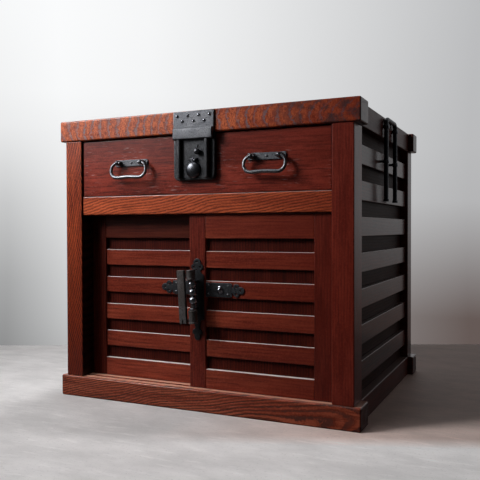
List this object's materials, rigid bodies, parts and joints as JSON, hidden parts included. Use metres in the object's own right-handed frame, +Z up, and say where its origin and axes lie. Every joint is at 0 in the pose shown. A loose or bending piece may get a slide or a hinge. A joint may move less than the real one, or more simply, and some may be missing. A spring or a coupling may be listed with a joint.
{
  "type": "merchant chest",
  "caption": "Low slatted wooden counter chest with one locking drawer, two sliding doors held by a padlock, and a lifting carrying bar on each side.",
  "frame": {"origin": "on the floor under the middle of the whole chest's box, fittings included", "axes": "+Z up, front with the drawer and doors towards -Y, +X to the right as seen from the front"},
  "size_m": [0.606, 0.5245, 0.542],
  "materials": {
    "front_top_beam": "red-brown lacquer rubbed into open-grained wood, semi-gloss",
    "rear_top_beam": "red-brown lacquer rubbed into open-grained wood, semi-gloss",
    "side_top_rails": "dark red-brown lacquer over open-grained wood, semi-gloss",
    "top_board": "dark red-brown lacquer over open-grained wood, semi-gloss",
    "front_base_beam": "red-brown lacquer rubbed into open-grained wood, semi-gloss",
    "rear_base_beam": "red-brown lacquer rubbed into open-grained wood, semi-gloss",
    "side_base_rails": "dark red-brown lacquer over open-grained wood, semi-gloss",
    "floor_board": "unlacquered softwood, matt",
    "front_posts": "red-brown lacquer rubbed into open-grained wood, semi-gloss",
    "rear_posts": "dark red-brown lacquer over open-grained wood, semi-gloss",
    "mid_rail": "red-brown lacquer rubbed into open-grained wood, semi-gloss",
    "rear_mid_rail": "unlacquered softwood, matt",
    "dust_board": "unlacquered softwood, matt",
    "drawer_runners": "unlacquered softwood, matt",
    "drawer_kickers": "unlacquered softwood, matt",
    "side_boards": "dark red-brown lacquer over open-grained wood, semi-gloss",
    "left_side_slats": "dark red-brown lacquer over open-grained wood, semi-gloss",
    "right_side_slats": "dark red-brown lacquer over open-grained wood, semi-gloss",
    "back_board": "unlacquered softwood, matt",
    "keeper_plate": "dark forged iron, slightly pitted, satin",
    "keeper_nails": "dark iron worn smooth and slightly polished",
    "carrying_bar_staples": "dark forged iron, slightly pitted, satin",
    "drawer_front": "red-brown lacquer rubbed into open-grained wood, semi-gloss",
    "drawer_sides": "unlacquered softwood, matt",
    "drawer_back": "unlacquered softwood, matt",
    "drawer_bottom": "unlacquered softwood, matt",
    "lock_case": "dark forged iron, slightly pitted, satin",
    "lock_hood": "dark forged iron, slightly pitted, satin",
    "cover_pin": "dark iron worn smooth and slightly polished",
    "bail_plates": "dark forged iron, slightly pitted, satin",
    "bail_plate_nails": "dark iron worn smooth and slightly polished",
    "bail_eyes": "dark forged iron, slightly pitted, satin",
    "lock_bolt": "dark forged iron, slightly pitted, satin",
    "bolt_knob": "dark iron worn smooth and slightly polished",
    "keyhole_cover": "dark iron worn smooth and slightly polished",
    "left_bail": "dark iron worn smooth and slightly polished",
    "right_bail": "dark iron worn smooth and slightly polished",
    "left_door_stiles": "red-brown lacquer rubbed into open-grained wood, semi-gloss",
    "left_door_rails": "red-brown lacquer rubbed into open-grained wood, semi-gloss",
    "left_door_slats": "red-brown lacquer rubbed into open-grained wood, semi-gloss",
    "left_door_panel": "dark red-brown lacquer over open-grained wood, semi-gloss",
    "left_door_strap": "dark forged iron, slightly pitted, satin",
    "left_strap_nails": "dark iron worn smooth and slightly polished",
    "right_door_stiles": "red-brown lacquer rubbed into open-grained wood, semi-gloss",
    "right_door_rails": "red-brown lacquer rubbed into open-grained wood, semi-gloss",
    "right_door_slats": "red-brown lacquer rubbed into open-grained wood, semi-gloss",
    "right_door_panel": "dark red-brown lacquer over open-grained wood, semi-gloss",
    "right_door_strap": "dark forged iron, slightly pitted, satin",
    "right_strap_nails": "dark iron worn smooth and slightly polished",
    "strap_stud": "dark iron worn smooth and slightly polished",
    "stile_plate": "dark forged iron, slightly pitted, satin",
    "door_staple": "dark iron worn smooth and slightly polished",
    "padlock_case": "dark forged iron, slightly pitted, satin",
    "padlock_shackle": "dark forged iron, slightly pitted, satin",
    "left_carrying_bar": "dark forged iron, slightly pitted, satin",
    "right_carrying_bar": "dark forged iron, slightly pitted, satin"
  },
  "bodies": {
    "carcase": {"front_top_beam": "front_top_beam", "rear_top_beam": "rear_top_beam", "side_top_rails": "side_top_rails", "top_board": "top_board", "front_base_beam": "front_base_beam", "rear_base_beam": "rear_base_beam", "side_base_rails": "side_base_rails", "floor_board": "floor_board", "front_posts": "front_posts", "rear_posts": "rear_posts", "mid_rail": "mid_rail", "rear_mid_rail": "rear_mid_rail", "dust_board": "dust_board", "drawer_runners": "drawer_runners", "drawer_kickers": "drawer_kickers", "side_boards": "side_boards", "left_side_slats": "left_side_slats", "right_side_slats": "right_side_slats", "back_board": "back_board", "keeper_plate": "keeper_plate", "keeper_nails": "keeper_nails", "carrying_bar_staples": "carrying_bar_staples"},
    "drawer": {"drawer_front": "drawer_front", "drawer_sides": "drawer_sides", "drawer_back": "drawer_back", "drawer_bottom": "drawer_bottom", "lock_case": "lock_case", "lock_hood": "lock_hood", "cover_pin": "cover_pin", "bail_plates": "bail_plates", "bail_plate_nails": "bail_plate_nails", "bail_eyes": "bail_eyes"},
    "drawer_bolt": {"lock_bolt": "lock_bolt", "bolt_knob": "bolt_knob"},
    "keyhole_cover": {"keyhole_cover": "keyhole_cover"},
    "left_bail": {"left_bail": "left_bail"},
    "right_bail": {"right_bail": "right_bail"},
    "left_door": {"left_door_stiles": "left_door_stiles", "left_door_rails": "left_door_rails", "left_door_slats": "left_door_slats", "left_door_panel": "left_door_panel", "left_door_strap": "left_door_strap", "left_strap_nails": "left_strap_nails"},
    "right_door": {"right_door_stiles": "right_door_stiles", "right_door_rails": "right_door_rails", "right_door_slats": "right_door_slats", "right_door_panel": "right_door_panel", "right_door_strap": "right_door_strap", "right_strap_nails": "right_strap_nails", "strap_stud": "strap_stud", "stile_plate": "stile_plate", "door_staple": "door_staple"},
    "padlock_case": {"padlock_case": "padlock_case"},
    "padlock_shackle": {"padlock_shackle": "padlock_shackle"},
    "left_carrying_bar": {"left_carrying_bar": "left_carrying_bar"},
    "right_carrying_bar": {"right_carrying_bar": "right_carrying_bar"}
  },
  "joints": [
    {"name": "drawer_slide", "type": "slide", "parent": "carcase", "child": "drawer", "axis": [0, -1, 0], "range_m": [0, 0.3]},
    {"name": "bolt_slide", "type": "slide", "parent": "drawer", "child": "drawer_bolt", "axis": [0, 0, 1], "range_m": [0, 0.0105]},
    {"name": "cover_hinge", "type": "hinge", "parent": "drawer", "child": "keyhole_cover", "pos_m": [0, -0.25035, 0.4538], "axis": [-1, 0, 0], "range_deg": [0, 90]},
    {"name": "left_bail_hinge", "type": "hinge", "parent": "drawer", "child": "left_bail", "pos_m": [-0.138, -0.24775, 0.4543], "axis": [-1, 0, 0], "range_deg": [0, 95]},
    {"name": "right_bail_hinge", "type": "hinge", "parent": "drawer", "child": "right_bail", "pos_m": [0.138, -0.24775, 0.4543], "axis": [-1, 0, 0], "range_deg": [0, 95]},
    {"name": "left_door_slide", "type": "slide", "parent": "carcase", "child": "left_door", "axis": [1, 0, 0], "range_m": [0, 0.234]},
    {"name": "right_door_slide", "type": "slide", "parent": "carcase", "child": "right_door", "axis": [-1, 0, 0], "range_m": [0, 0.234]},
    {"name": "padlock_swing", "type": "hinge", "parent": "right_door", "child": "padlock_case", "pos_m": [-0.002, -0.25375, 0.23635], "axis": [-0.061, 0, 0.9981], "range_deg": [0, 165]},
    {"name": "shackle_slide", "type": "slide", "parent": "padlock_case", "child": "padlock_shackle", "axis": [-0.061, 0, 0.9981], "range_m": [0, 0.065]},
    {"name": "left_bar_slide", "type": "slide", "parent": "carcase", "child": "left_carrying_bar", "axis": [0, 0, 1], "range_m": [0, 0.067]},
    {"name": "right_bar_slide", "type": "slide", "parent": "carcase", "child": "right_carrying_bar", "axis": [0, 0, 1], "range_m": [0, 0.067]}
  ]
}
